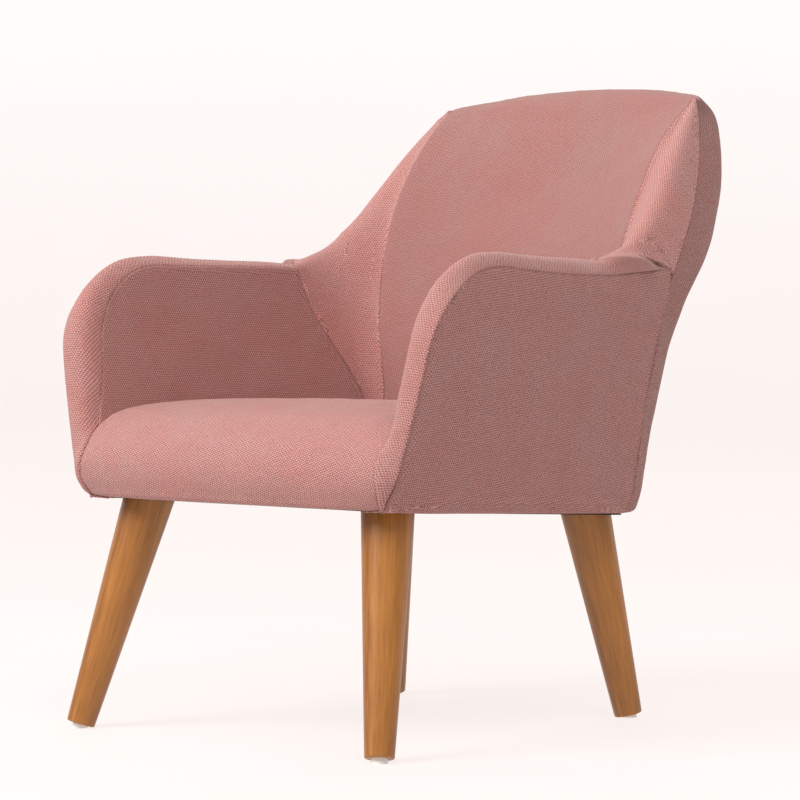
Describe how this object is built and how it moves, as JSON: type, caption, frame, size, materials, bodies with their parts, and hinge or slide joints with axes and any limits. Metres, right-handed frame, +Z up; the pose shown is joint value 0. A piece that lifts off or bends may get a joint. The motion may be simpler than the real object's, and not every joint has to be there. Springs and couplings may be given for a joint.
{
  "type": "upholstered armchair",
  "caption": "Compact tub armchair with a leaning winged back, boxed arms, a tight sprung seat and splayed tapered round wooden legs, covered in woven fabric.",
  "frame": {"origin": "on the floor under the middle of the chair's overall box", "axes": "+Z up, the sitter faces -Y, +X is the sitter's left, the chair is symmetric about X = 0"},
  "size_m": [0.6218, 0.7368, 0.8167],
  "materials": {
    "foam": "cut foam",
    "frame_wood": "sawn",
    "webbing": "coarse woven",
    "dust_cloth": "thin non-woven",
    "fastener_steel": "zinc plated",
    "back_fabric": "matt woven",
    "boxing_fabric": "matt woven",
    "glide_plastic": "moulded",
    "leg_wood": "satin lacquer",
    "inside_arm_fabric": "matt woven",
    "wing_fabric": "matt woven",
    "outside_arm_fabric": "matt woven",
    "wadding": "fibre felt",
    "plywood": "raw",
    "outside_back_fabric": "matt woven",
    "seat_fabric": "matt woven",
    "spring_steel": "drawn wire",
    "clip_steel": "zinc plated"
  },
  "bodies": {
    "root": {"back_top_foam": "foam", "back_top_rail": "frame_wood", "back_webbing": "webbing", "dust_cover": "dust_cloth", "frame_screws": "fastener_steel", "front_seat_rail": "frame_wood", "inside_back_cover": "back_fabric", "inside_back_foam": "foam", "left_arm_boxing_cover": "boxing_fabric", "left_arm_top_foam": "foam", "left_back_upright": "frame_wood", "left_front_corner_block": "frame_wood", "left_front_glide": "glide_plastic", "left_front_leg": "leg_wood", "left_inside_arm_cover": "inside_arm_fabric", "left_inside_arm_foam": "foam", "left_inside_wing_cover": "wing_fabric", "left_outside_arm_cover": "outside_arm_fabric", "left_outside_arm_wadding": "wadding", "left_rear_corner_block": "frame_wood", "left_rear_glide": "glide_plastic", "left_rear_leg": "leg_wood", "left_side_frame": "plywood", "left_wing_board": "plywood", "left_wing_brace": "frame_wood", "left_wing_foam": "foam", "leg_hanger_bolts": "fastener_steel", "leg_inserts": "fastener_steel", "lumbar_rail": "frame_wood", "outside_back_cover": "outside_back_fabric", "outside_back_wadding": "wadding", "rear_seat_rail": "frame_wood", "right_arm_boxing_cover": "boxing_fabric", "right_arm_top_foam": "foam", "right_back_upright": "frame_wood", "right_front_corner_block": "frame_wood", "right_front_glide": "glide_plastic", "right_front_leg": "leg_wood", "right_inside_arm_cover": "inside_arm_fabric", "right_inside_arm_foam": "foam", "right_inside_wing_cover": "wing_fabric", "right_outside_arm_cover": "outside_arm_fabric", "right_outside_arm_wadding": "wadding", "right_rear_corner_block": "frame_wood", "right_rear_glide": "glide_plastic", "right_rear_leg": "leg_wood", "right_side_frame": "plywood", "right_wing_board": "plywood", "right_wing_brace": "frame_wood", "right_wing_foam": "foam", "seat_cover": "seat_fabric", "seat_foam": "foam", "seat_front_foam": "foam", "seat_springs": "spring_steel", "spring_clips": "clip_steel"}
  },
  "joints": []
}
